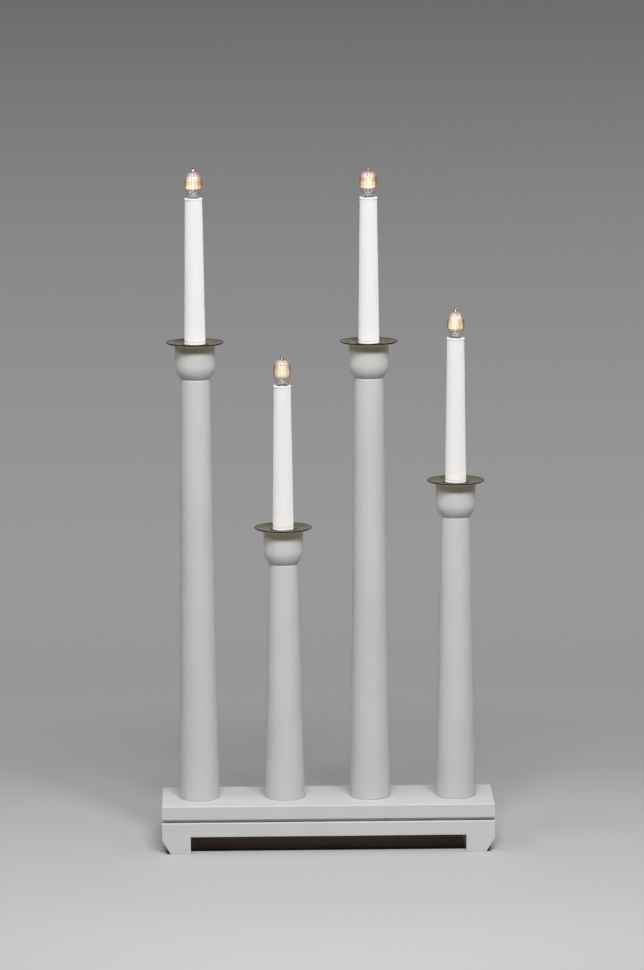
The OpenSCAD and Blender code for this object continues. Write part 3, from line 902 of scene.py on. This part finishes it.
class CANDLE_OT_base(bpy.types.Operator):
    """Make the footed base with its grooves"""

    bl_idname = "candle.base"
    bl_label = "Base"

    # Play round the cover and the cord bush, margin of the patch round the bush, and the hole's two steps
    cover_play = 0.0004
    bush_play = 0.00004
    patch_margin = 0.00003
    flange_depth = 0.0016
    bore_radius = 0.0038
    bore_depth = 0.0132

    def execute(self, context):
        sizes = settings("candle_base")
        low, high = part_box("base_board")
        half_w, half_d, top = high
        inner = half_w - sizes.foot_width
        groove_top = top - sizes.groove_drop
        bm = bmesh.new()
        # The layer marks the sanded edges, which the paint makes paler as a painted highlight.
        highlit = bm.verts.layers.float.new("edge")
        self.block(bm, sizes, high, inner, low[2])
        self.cover_recess(bm, inner, low[2])
        for side in (-1, 1):
            self.groove(bm, side, half_d - sizes.groove_depth, groove_top - sizes.groove_height, groove_top)
        bmesh.ops.recalc_face_normals(bm, faces=bm.faces[:])
        bmesh.ops.dissolve_limit(
            bm,
            angle_limit=math.radians(0.5),
            verts=bm.verts[:],
            edges=bm.edges[:],
            use_dissolve_boundaries=False,
        )
        self.sand(bm, sizes.edge_round, highlit)
        self.inlet(bm, half_d)
        paint = painted_wood("paint_on_board", "X", 0.95, 0.02, 0.4)
        base = make_piece(bm, "base", HOLDER, paint, ("base_board", "base_feet"), 35.0)
        flat = base.modifiers.new("flat_faces", "WEIGHTED_NORMAL")
        flat.keep_sharp = True
        return {"FINISHED"}

    def block(self, bm, sizes, corner, inner, underside):
        """Extrudes the front's outline, with its two feet, to the back."""
        half_w, half_d, top = corner
        sole, floor = half_w - sizes.foot_cut_width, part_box("base_feet")[0][2]
        right = [
            (half_w, top),
            (half_w, sizes.foot_cut_height),
            (sole, floor),
            (inner, floor),
            (inner, underside),
        ]
        outline = right + [(-x, z) for x, z in reversed(right)]
        front = bm.faces.new([bm.verts.new((x, -half_d, z)) for x, z in outline])
        grown = bmesh.ops.extrude_face_region(bm, geom=[front], use_keep_orig=True)
        bmesh.ops.translate(bm, verts=new_points(grown), vec=(0.0, 2 * half_d, 0.0))
        bmesh.ops.recalc_face_normals(bm, faces=bm.faces[:])

    def cover_recess(self, bm, inner, underside):
        """Sinks the strip of the underside that takes the cover board."""
        low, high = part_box("base_cover")
        reach = high[1] + self.cover_play
        for side in (-1, 1):
            cut(bm, "Y", side * reach)
        strip = faces_at(
            bm,
            lambda middle: abs(middle.z - underside) < SAME_PLANE
            and abs(middle.y) < reach
            and abs(middle.x) < inner,
        )
        grown = bmesh.ops.extrude_face_region(bm, geom=strip)
        bmesh.ops.translate(bm, verts=new_points(grown), vec=(0.0, 0.0, high[2] - low[2]))
        bmesh.ops.delete(bm, geom=strip, context="FACES_ONLY")

    def inlet(self, bm, half_d):
        """Bores the stepped hole for the cord bush into the back."""
        low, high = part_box("cord_bush")
        centre_z, flange = (low[2] + high[2]) / 2, high[0] + self.bush_play
        centre = Vector((0.0, half_d, centre_z))
        patch = flange + self.patch_margin
        for axis, middle in (("X", 0.0), ("Z", centre_z)):
            for side in (-1, 1):
                back = faces_at(bm, lambda point: abs(point.y - half_d) < SAME_PLANE)
                cut(bm, axis, middle + side * patch, back)
        square = faces_at(bm, lambda middle: (middle - centre).length < 10 * SAME_PLANE)
        if len(square) != 1:
            raise ValueError("no patch for the cord inlet")
        rim = list(square[0].edges)
        bmesh.ops.delete(bm, geom=square, context="FACES_ONLY")
        bmesh.ops.subdivide_edges(bm, edges=rim, cuts=7, use_grid_fill=False)
        around = [edge for edge in bm.edges if edge.is_boundary]
        upright = Matrix.Rotation(math.pi / 2, 4, "X") @ Matrix.Rotation(math.pi / 4, 4, "Z")
        ring = bmesh.ops.create_circle(
            bm, cap_ends=False, radius=flange, segments=32, matrix=Matrix.Translation(centre) @ upright
        )
        circle = [edge for edge in bm.edges if edge.verts[0] in ring["verts"]]
        bmesh.ops.bridge_loops(bm, edges=around + circle)
        circle = self.deeper(bm, circle, self.flange_depth)
        circle = self.deeper(bm, circle, 0.0, self.bore_radius / flange, centre_z)
        circle = self.deeper(bm, circle, self.bore_depth)
        bmesh.ops.contextual_create(bm, geom=circle)

    def deeper(self, bm, circle, depth, shrink=1.0, centre_z=0.0):
        """Extrudes an open ring into the back or towards its centre, and returns the new ring."""
        grown = bmesh.ops.extrude_edge_only(bm, edges=circle)
        points = new_points(grown)
        bmesh.ops.translate(bm, verts=points, vec=(0.0, -depth, 0.0))
        if shrink != 1.0:
            space = Matrix.Translation((0.0, 0.0, -centre_z))
            bmesh.ops.scale(bm, verts=points, vec=(shrink, 1.0, shrink), space=space)
        edges = [item for item in grown["geom"] if isinstance(item, bmesh.types.BMEdge)]
        return [edge for edge in edges if set(edge.verts) <= set(points)]

    def groove(self, bm, side, reach, low, high):
        """Cuts a groove along one long side, in to a distance from the middle."""
        cut(bm, "Z", low)
        cut(bm, "Z", high)
        cut(bm, "Y", side * reach)
        waste = faces_at(
            bm, lambda middle: low < middle.z < high and side * middle.y > reach + SAME_PLANE
        )
        bmesh.ops.delete(bm, geom=waste, context="FACES")
        open_edges = [edge for edge in bm.edges if edge.is_boundary]
        ends = [edge for edge in open_edges if abs(edge.verts[0].co.x - edge.verts[1].co.x) < SAME_POINT]
        bmesh.ops.bridge_loops(bm, edges=ends)
        bmesh.ops.remove_doubles(bm, verts=bm.verts[:], dist=SAME_POINT)

    def sand(self, bm, size, highlit):
        """Rounds the outer edges and marks them for a painted highlight."""
        steep = math.radians(30)
        rounded = [edge for edge in bm.edges if edge.is_convex and edge.calc_face_angle(0.0) > steep]
        sanded = bmesh.ops.bevel(
            bm,
            geom=rounded,
            offset=size,
            affect="EDGES",
            segments=4,
            profile=0.5,
            material=-1,
            clamp_overlap=True,
        )
        faces = set(sanded["faces"])
        for vertex in sanded["verts"]:
            vertex[highlit] = float(all(face in faces for face in vertex.link_faces))


class CANDLE_OT_columns(bpy.types.Operator):
    """Turn the four columns with their cups"""

    bl_idname = "candle.columns"
    bl_label = "Columns"

    # Distances below the cup's top: where the painted brass-coloured reflection under the plate sets in,
    # how far it grows, and the rings that carry it
    brass_reflection_drop = 0.0075
    brass_reflection_fade = 0.003
    brass_reflection_rings = (0.008, 0.007, 0.006, 0.005, 0.004, 0.002)
    neck_gap = 0.0003

    def execute(self, context):
        sizes = settings("candle_columns")
        paint = painted_wood("paint_on_columns", "Z")
        for name in each("column"):
            self.column(sizes, name, paint)
        return {"FINISHED"}

    def column(self, sizes, name, paint):
        """One column, with a painted brass-coloured reflection of its plate on the cup's top."""
        floor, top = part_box("base_board")[1][2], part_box(name)[1][2]
        start = top - self.brass_reflection_drop
        fields = {"tarnish": lambda point: within((point.z - start) / self.brass_reflection_fade)}
        bm = turned(self.profile(sizes, floor, top), axis_of(name), 128)
        make_piece(bm, f"turned_{name}", HOLDER, paint, (name,), 30.0, fields)

    def profile(self, sizes, floor, top):
        """Half of the outline, from the foot to the cup's top."""
        ball, neck, foot, small = sizes.cup_radius, sizes.neck_radius, sizes.foot_radius, sizes.edge_round
        middle = top - sizes.cup_straight
        meet = middle - math.sqrt(ball * ball - neck * neck)
        start = -math.degrees(math.acos((neck - sizes.neck_cut * 0.2) / ball))
        lip, shoulder = sizes.lip_round, meet - self.neck_gap
        return (
            [(0.0, floor), (foot - small, floor)]
            + arc((foot - small, floor + small), small, -90.0, 0.0, 4)[1:]
            + [(neck + 0.00002, shoulder - lip)]
            + arc((neck - lip, shoulder - lip), lip, 0.0, 85.0, 6)
            + [(neck - sizes.neck_cut, shoulder), (neck - sizes.neck_cut, meet)]
            + arc((0.0, middle), ball, start, 0.0, 20)
            + [(ball, top - drop) for drop in self.brass_reflection_rings]
            + arc((ball - small, top - small), small, 0.0, 90.0, 4)
            + [(0.0, top)]
        )


class CANDLE_OT_plates(bpy.types.Operator):
    """Spin the four drip plates"""

    bl_idname = "candle.plates"
    bl_label = "Drip plates"

    def execute(self, context):
        sizes = settings("candle_plates")
        metal = patinated_brass()
        for name in each("drip_plate"):
            self.plate(sizes, name, metal)
        return {"FINISHED"}

    def plate(self, sizes, name, metal):
        """One plate, with its radius, lower side and cut edge marked for the finish."""
        x, floor = axis_of(name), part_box(name)[0][2]

        def radius(point):
            return math.hypot(point.x - x, point.y)

        fields = {
            "spin_radius": radius,
            "underside": lambda point: self.under(sizes, radius(point), point.z - floor),
            "cut_edge": lambda point: self.cut_edge(sizes, radius(point), point.z - floor),
        }
        bm = turned(self.profile(sizes, floor), x, 160, closed=True)
        make_piece(bm, f"spun_{name}", HOLDER, metal, (name,), 50.0, fields)

    def rim(self, sizes):
        """Inner and outer radius of the rim's bend, and the plate's radius where it starts."""
        inner = sizes.rise / (1 - math.cos(sizes.rim_angle))
        outer = inner + sizes.thickness
        return inner, outer, sizes.radius - outer * math.sin(sizes.rim_angle)

    def under(self, sizes, radius, height):
        """1 on the lower side of the sheet and 0 on its upper side and its edge."""
        inner, outer, flat = self.rim(sizes)
        out = max(0.0, radius - flat)
        return float(height < outer - math.sqrt((inner + sizes.thickness / 2) ** 2 - out * out))

    def cut_edge(self, sizes, radius, height):
        """1 on the sheet's cut edge and 0 elsewhere."""
        _, outer, flat = self.rim(sizes)
        slope = math.atan2(radius - flat, outer - height)
        return float(slope > sizes.rim_angle - 0.15 * sizes.thickness / outer)

    def profile(self, sizes, floor):
        """The sheet's outline: flat floor, bent rim and a cut edge with its corners broken."""
        angle, thick = math.degrees(sizes.rim_angle), sizes.thickness
        inner, outer, flat = self.rim(sizes)
        centre = (flat, floor + outer)
        small = thick * 0.2

        def corner(reach):
            slope = sizes.rim_angle - small / reach
            return (centre[0] + reach * math.sin(slope), centre[1] - reach * math.cos(slope))

        return (
            [(sizes.hole_radius, floor), (flat * 0.5, floor)]
            + arc(centre, outer, -90.0, -92.0 + angle, 12)
            + arc(corner(outer - small), small, -90.0 + angle, angle, 3)
            + arc(corner(inner + small), small, angle, 90.0 + angle, 3)
            + arc(centre, inner, -92.0 + angle, -90.0, 12)
            + [(flat * 0.5, floor + thick), (sizes.hole_radius, floor + thick)]
        )


class CANDLE_OT_tubes(bpy.types.Operator):
    """Make the four plastic candles"""

    bl_idname = "candle.tubes"
    bl_label = "Candles"

    # Small roundings, the seam above the foot ring, and the heights at which the painted shade on the foot
    # fades
    ring_round = 0.0002
    rim_round = 0.0003
    top_round = 0.0005
    seam_height = 0.0003
    rim_flare = 0.0012
    foot_shade_fade = 0.012
    foot_rings = (0.0030, 0.0045, 0.0065, 0.0090, 0.0120)

    def execute(self, context):
        sizes = settings("candle_tubes")
        plastic = candle_plastic()
        for name in each("candle_tube"):
            self.candle(sizes, name, plastic)
        return {"FINISHED"}

    def candle(self, sizes, name, plastic):
        """One candle, with its gap and foot marked for painted shade and its seam marked for the finish."""
        low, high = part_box(name)
        floor = low[2]
        seam = sizes.gap_height + sizes.ring_height + self.seam_height / 2
        # gap and foot carry painted shade: a near-black gap and a foot that darkens towards the bottom.
        fields = {
            "gap": lambda point: float(point.z < floor + 0.95 * sizes.gap_height),
            "seam": lambda point: float(abs(point.z - floor - seam) < 0.0002),
            "foot": lambda point: within(1.0 - (point.z - floor) / self.foot_shade_fade),
        }
        bm = turned(self.profile(sizes, floor, high[2]), axis_of(name), 96, closed=True)
        make_piece(bm, f"white_{name}", HOLDER, plastic, (name,), 35.0, fields)

    def profile(self, sizes, floor, top):
        """Tapered tube with a foot ring, a small raised rim and a lip that narrows its mouth."""

        def outside(z):
            taper = (sizes.top_radius - sizes.foot_radius) / (top - floor)
            return sizes.foot_radius + taper * (z - floor)

        ring_r, rim_r, top_r = self.ring_round, self.rim_round, self.top_round
        rim = top - sizes.rim_height
        proud = outside(rim) + sizes.rim_proud
        lip = top - sizes.lip_depth
        gap = floor + sizes.gap_height
        ring = gap + sizes.ring_height
        seam = outside(ring) - sizes.ring_proud
        foot, inside, mouth = sizes.foot_radius, sizes.foot_radius - sizes.gap_depth, sizes.mouth_radius
        return (
            [(outside(floor) - sizes.wall, floor), (inside, floor), (inside, gap)]
            + arc((foot - ring_r, gap + ring_r), ring_r, -90.0, 0.0, 3)
            + arc((foot - ring_r, ring - ring_r), ring_r, 0.0, 90.0, 3)
            + [(seam, ring), (seam, ring + self.seam_height)]
            + [(outside(floor + z), floor + z) for z in self.foot_rings]
            + [(outside(rim - self.rim_flare), rim - self.rim_flare), (outside(rim), rim - 0.0002)]
            + arc((proud - rim_r, rim + rim_r), rim_r, -35.0, 0.0, 3)
            + arc((proud - top_r, top - top_r), top_r, 0.0, 90.0, 5)
            + arc((mouth + rim_r, top - rim_r), rim_r, 90.0, 180.0, 3)
            + [(mouth, lip), (outside(lip) - sizes.wall, lip)]
        )


class LampSpot:
    """Where one lamp stands: its body, its axis, the candle's top and the glass's height above that."""

    def __init__(self, k):
        self.k = k
        self.body = f"lamp_{k}"
        self.x = axis_of(f"bulb_glass_{k}")
        self.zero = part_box(f"candle_tube_{k}")[1][2]
        self.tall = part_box(f"bulb_glass_{k}")[1][2] - self.zero

    def height(self, part):
        """The height at a share of the glass's height."""
        return self.zero + part * self.tall

    def part(self, point):
        """The share of the glass's height at a point."""
        return (point.z - self.zero) / self.tall

    def angle(self, point):
        """The angle of a point round the lamp's axis."""
        return math.atan2(point.y, point.x - self.x)

    def around(self, angle, radius, z):
        """A point at an angle and a radius round the lamp's axis."""
        return (self.x + radius * math.cos(angle), radius * math.sin(angle), z)


class CANDLE_OT_lamps(bpy.types.Operator):
    """Blow the lamp glasses and make their stems and filaments"""

    bl_idname = "candle.lamps"
    bl_label = "Lamps"

    # Shares of the glass's height: belly, stem's shoulder, and lower and upper bends of the filament
    belly = 0.40
    shoulder = 0.2
    bends = (0.295, 0.645)

    # Shares of the radius and the height that a full dome and a slim one follow, outside and inside
    domes = {
        True: {
            "side": 0.645,
            "crown": (0.81, 0.845),
            "pinch": (0.28, 0.868),
            "draw": 0.89,
            "ceiling": (0.70, 0.835),
            "inner_side": 0.63,
        },
        False: {
            "side": 0.60,
            "crown": (0.77, 0.78),
            "pinch": (0.30, 0.865),
            "draw": 0.91,
            "ceiling": (0.66, 0.83),
            "inner_side": 0.59,
        },
    }

    # Height above the candle's top and radius of each bead on the stem
    beads = ((0.0019, 0.00055), (0.0037, 0.00042))
    waist = 0.0018
    rod = 0.0008
    rod_gap = 0.0005
    lead = 0.0012
    hook_wire = 0.0002

    def execute(self, context):
        sizes = settings("candle_lamps")
        glass, stem, wire = clear_glass(), stem_glass(), lit_filament()
        support = plain_metal("support_wire", srgb(120, 116, 112), (1.0, 1.0, 0.2), 0.35)
        for k in CANDLES:
            spot = LampSpot(k)
            self.bulb(sizes, spot, glass)
            self.stem(sizes, spot, stem)
            self.filament(sizes, spot, wire)
            self.hooks(sizes, spot, support)
        return {"FINISHED"}

    def bulb(self, sizes, spot, material):
        """One glass, with its height, stripes, the side with most painted glow and outer wall marked for
        the finish.
        """
        name = f"bulb_glass_{spot.k}"
        outside, inside = self.glass(sizes, spot)
        lining = {round(height, 7): radius for radius, height in inside}

        def outer(point):
            radius = lining.get(round(point.z, 7))
            return float(radius is None or math.hypot(point.x - spot.x, point.y) > radius + 0.0001)

        fields = {
            "rise": lambda point: self.rise(spot.part(point), spot.k),
            "stripe": lambda point: self.stripe(spot.angle(point), spot.k),
            "lobe": lambda point: self.lobe(spot.angle(point), spot.k),
            "outside": outer,
        }
        bm = turned(outside + inside, spot.x, 96)
        make_piece(bm, f"clear_{name}", spot.body, material, (name,), 60.0, fields)

    def rise(self, part, k):
        """Height in the glass, from 0 to 1, drawn down in a full dome so that its glow reaches higher."""
        drawn = 0.07 if k in FULL_DOMES else 0.0
        return max(0.0, part - drawn * within((part - 0.4) / 0.26, (0.86 - part) / 0.1))

    def stripe(self, angle, k):
        """Uneven vertical stripes round the glass, from 0 to 1."""
        return 0.58 + 0.24 * math.sin(11 * angle + 1.7 * k) + 0.18 * math.sin(5 * angle + 2.9 * k)

    def lobe(self, angle, k):
        """How strongly the painted glow of the filament shows on one side of the glass, from 0 to 1."""
        middle = math.radians(-92.0 if k in FULL_DOMES else -118.0)
        return max(0.0, math.cos(angle - middle)) ** 5 * (0.85 + 0.15 * math.sin(19 * angle + k))

    def glass(self, sizes, spot):
        """Outside from the neck to the drawn tip, and back along the inside."""
        r, neck, plug, thick = sizes.radius, sizes.neck_radius, sizes.plug_radius, sizes.glass
        cap, end = spot.zero - sizes.cap_drop, spot.zero - sizes.neck_drop
        hollow, throat, bore = r - thick, neck - thick, plug - thick
        dome = self.domes[spot.k in FULL_DOMES]

        def at(radius, part):
            return (radius, spot.height(part))

        def in_dome(place):
            return at(place[0] * r, place[1])

        belly, lining = at(r, self.belly), at(hollow, self.belly)
        pinch, ceiling = in_dome(dome["pinch"]), in_dome(dome["ceiling"])
        outside = (
            [(plug, end), (plug, cap - 0.0006), (neck, cap + 0.0002)]
            + bend(at(neck, 0.02), at(neck, 0.18), at(r, 0.24), belly, 14)
            + bend(belly, at(r, dome["side"]), in_dome(dome["crown"]), pinch, 18)[1:]
            + bend(pinch, at(0.22 * r, dome["draw"]), at(0.15 * r, 1.0), at(0.0, 1.0), 10)[1:]
        )
        inside = (
            bend((0.0, ceiling[1]), ceiling, at(hollow, dome["inner_side"]), lining, 18)
            + bend(lining, at(hollow, 0.24), at(throat, 0.18), (throat, cap + thick), 14)[1:]
            + [(bore, cap), (bore, end), (plug, end)]
        )
        return outside, inside

    def stem(self, sizes, spot, material):
        """One stem, with its rod and beads marked for their painted glow."""
        fields = {
            "glow": lambda point: self.rod_glow(spot.part(point)),
            "bead": lambda point: self.bead(point.z - spot.zero),
        }
        bm = turned(self.stem_profile(sizes, spot), spot.x, 32)
        name = f"pressed_stem_{spot.k}"
        make_piece(bm, name, spot.body, material, (f"lamp_stem_{spot.k}",), 50.0, fields)

    def rod_glow(self, part):
        """1 along the rod's painted glow, fading at both ends."""
        return within((part - 0.26) / 0.05, (0.66 - part) / 0.03)

    def bead(self, height):
        """1 in the middle of a bead and 0 from its ends on."""
        return max(0.0, max(1.0 - abs(height - z) / size for z, size in self.beads))

    def rod_top(self, spot):
        """Where the stem's rod ends, just below the filament's upper bends."""
        return spot.height(self.bends[1]) - self.rod_gap

    def stem_profile(self, sizes, spot):
        """Flare, waist, beads, shoulder and rod of the stem."""
        end, shoulder, top = spot.zero - sizes.neck_drop, spot.height(self.shoulder), self.rod_top(spot)
        waist, flare, rod, small = self.waist, sizes.plug_radius, self.rod, 0.0005
        beads = [arc((waist - 0.0001, spot.zero + z), size, -80.0, 80.0, 8) for z, size in self.beads]
        foot = [(waist, end + rise) for rise in (0.0008, 0.002, 0.004)]
        return (
            [(0.0, end - small), (flare, end - small), (flare, end)]
            + bend((flare - 0.0008, end), *foot, 8)
            + beads[0]
            + beads[1]
            + [(waist, shoulder - small)]
            + arc((waist - small, shoulder - small), small, 0.0, 90.0, 4)
            + [(rod + 0.0002, shoulder), (rod, shoulder + 0.0003), (rod, top - 0.0006)]
            + arc((0.0, top - rod), rod, 10.0, 90.0, 5)
        )

    def ring(self, sizes):
        """The radius of the ring that the filament's strands stand on, and the angle between them."""
        return 0.36 * sizes.radius, 2 * math.pi / sizes.strands

    def filament(self, sizes, spot, material):
        """One wire from the stem, up and down round a ring and back to the stem."""
        ring, pitch = self.ring(sizes)
        shoulder, low, high = (spot.height(part) for part in (self.shoulder, *self.bends))
        lead = self.lead
        leg = ((lead, shoulder), (lead, shoulder + 0.0008), ((ring + lead) / 2, low - 0.0006))
        rise = [(ring, z) for z in (low, low + 0.0012, high - 0.0012, high)]
        path = [spot.around(0.0, *place) for place in leg]
        for i in range(sizes.strands):
            path += [spot.around(i * pitch, *place) for place in (rise if i % 2 == 0 else rise[::-1])]
        path += [spot.around((sizes.strands - 1) * pitch, *place) for place in leg[::-1]]
        fields = {"glow": lambda point: within((point.z - low + 0.0003) / 0.001)}
        nodes = (f"filament_{spot.k}",)
        self.wire(f"lit_filament_{spot.k}", spot.body, material, [path], sizes.wire, nodes, fields)

    def hooks(self, sizes, spot, material):
        """Fine wires from the rod's top that hold the filament's upper bends."""
        ring, pitch = self.ring(sizes)
        high, reach = spot.height(self.bends[1]), ring * math.cos(pitch / 2)
        hook = (
            (0.0004, self.rod_top(spot) - 0.0008),
            (0.0012, high + 0.0002),
            (reach * 0.7, high + 0.0006),
            (reach, high + 0.0003),
        )
        angles = [(i + 0.5) * pitch for i in range(0, sizes.strands, 2)]
        paths = [[spot.around(angle, *place) for place in hook] for angle in angles]
        self.wire(f"filament_hooks_{spot.k}", spot.body, material, paths, self.hook_wire)

    def wire(self, name, body, material, paths, thickness, nodes=(), fields=None):
        """Round wire along smooth paths, as a mesh."""
        data = bpy.data.curves.new(name, "CURVE")
        data.dimensions = "3D"
        data.bevel_depth = thickness / 2
        data.bevel_resolution = 2
        data.resolution_u = 5
        data.use_fill_caps = True
        for path in paths:
            spline = data.splines.new("NURBS")
            spline.points.add(len(path) - 1)
            for point, place in zip(spline.points, path):
                point.co = (*place, 1.0)
            spline.order_u = 3
            spline.use_endpoint_u = True
        carrier = linked(f"{name}_path", data)
        graph = bpy.context.evaluated_depsgraph_get()
        mesh = bpy.data.meshes.new_from_object(carrier.evaluated_get(graph))
        mesh.name = name
        mesh.materials.clear()
        bpy.data.objects.remove(carrier)
        bpy.data.curves.remove(data)
        place_piece(mesh, name, body, material, nodes, 60.0, fields)


class CANDLE_OT_fittings(bpy.types.Operator):
    """Finish the fittings that keep their CAD shape"""

    bl_idname = "candle.fittings"
    bl_label = "Fittings"

    def execute(self, context):
        brass = settings("candle_finishes").brass
        zinc, steel, solder = srgb(186, 188, 190), srgb(176, 178, 180), srgb(172, 174, 178)
        dress(["base_cover"], hardboard())
        dress(["cover_screws"], plain_metal("zinc_plate", zinc, EVEN, 0.32))
        dress(["cord_bush"], moulded("black_plastic", srgb(38, 38, 40), 0.42))
        dress(["terminal_block"], moulded("block_plastic", srgb(226, 220, 204), 0.4))
        dress(["wiring"], moulded("wire_sheath", srgb(222, 222, 218), 0.38))
        dress(["contact_springs"], plain_metal("spring_steel", steel, (1.0, 1.0, 0.3), 0.28))
        dress(each("spigot"), plain_metal("turned_brass", brass, (0.2, 0.2, 1.0), 0.28))
        dress(each("lamp_holder"), moulded("holder_plastic", srgb(224, 218, 202), 0.45))
        dress(each("screw_shell"), plain_metal("rolled_brass", brass, (1.0, 1.0, 0.3), 0.26))
        dress(each("centre_contact"), plain_metal("contact_brass", brass, (1.0, 1.0, 0.5), 0.3))
        dress(each("lamp_cap"), plain_metal("cap_brass", scaled(brass, 0.92), (0.3, 0.3, 1.0), 0.24))
        dress(each("lamp_insulator"), moulded("black_glass", srgb(28, 28, 32), 0.14))
        dress(each("lamp_solder_tip"), plain_metal("solder", solder, EVEN, 0.36, 0.00008))
        return {"FINISHED"}


STEPS = (
    CANDLE_OT_stage,
    CANDLE_OT_base,
    CANDLE_OT_columns,
    CANDLE_OT_plates,
    CANDLE_OT_tubes,
    CANDLE_OT_lamps,
    CANDLE_OT_fittings,
)


class CANDLE_PT_holder(bpy.types.Panel):
    """Lists the steps that build the candle holder"""

    bl_idname = "CANDLE_PT_holder"
    bl_label = "Candle holder"
    bl_space_type = "VIEW_3D"
    bl_region_type = "UI"
    bl_category = "Candle holder"

    def draw(self, context):
        for step in STEPS:
            self.layout.operator(step.bl_idname)


CLASSES = (*SETTINGS.values(), *STEPS, CANDLE_PT_holder)


def register():
    """Registers the classes and hangs the settings on the scene."""
    for item in CLASSES:
        bpy.utils.register_class(item)
    for name, group in SETTINGS.items():
        setattr(bpy.types.Scene, name, PointerProperty(type=group))


def unregister():
    """Takes the settings and the classes away again."""
    for name in SETTINGS:
        delattr(bpy.types.Scene, name)
    for item in reversed(CLASSES):
        bpy.utils.unregister_class(item)


def main():
    """Builds everything."""
    register()
    bpy.ops.candle.stage()
    bpy.ops.candle.base()
    bpy.ops.candle.columns()
    bpy.ops.candle.plates()
    bpy.ops.candle.tubes()
    bpy.ops.candle.lamps()
    bpy.ops.candle.fittings()


if __name__ == "__main__":
    main()
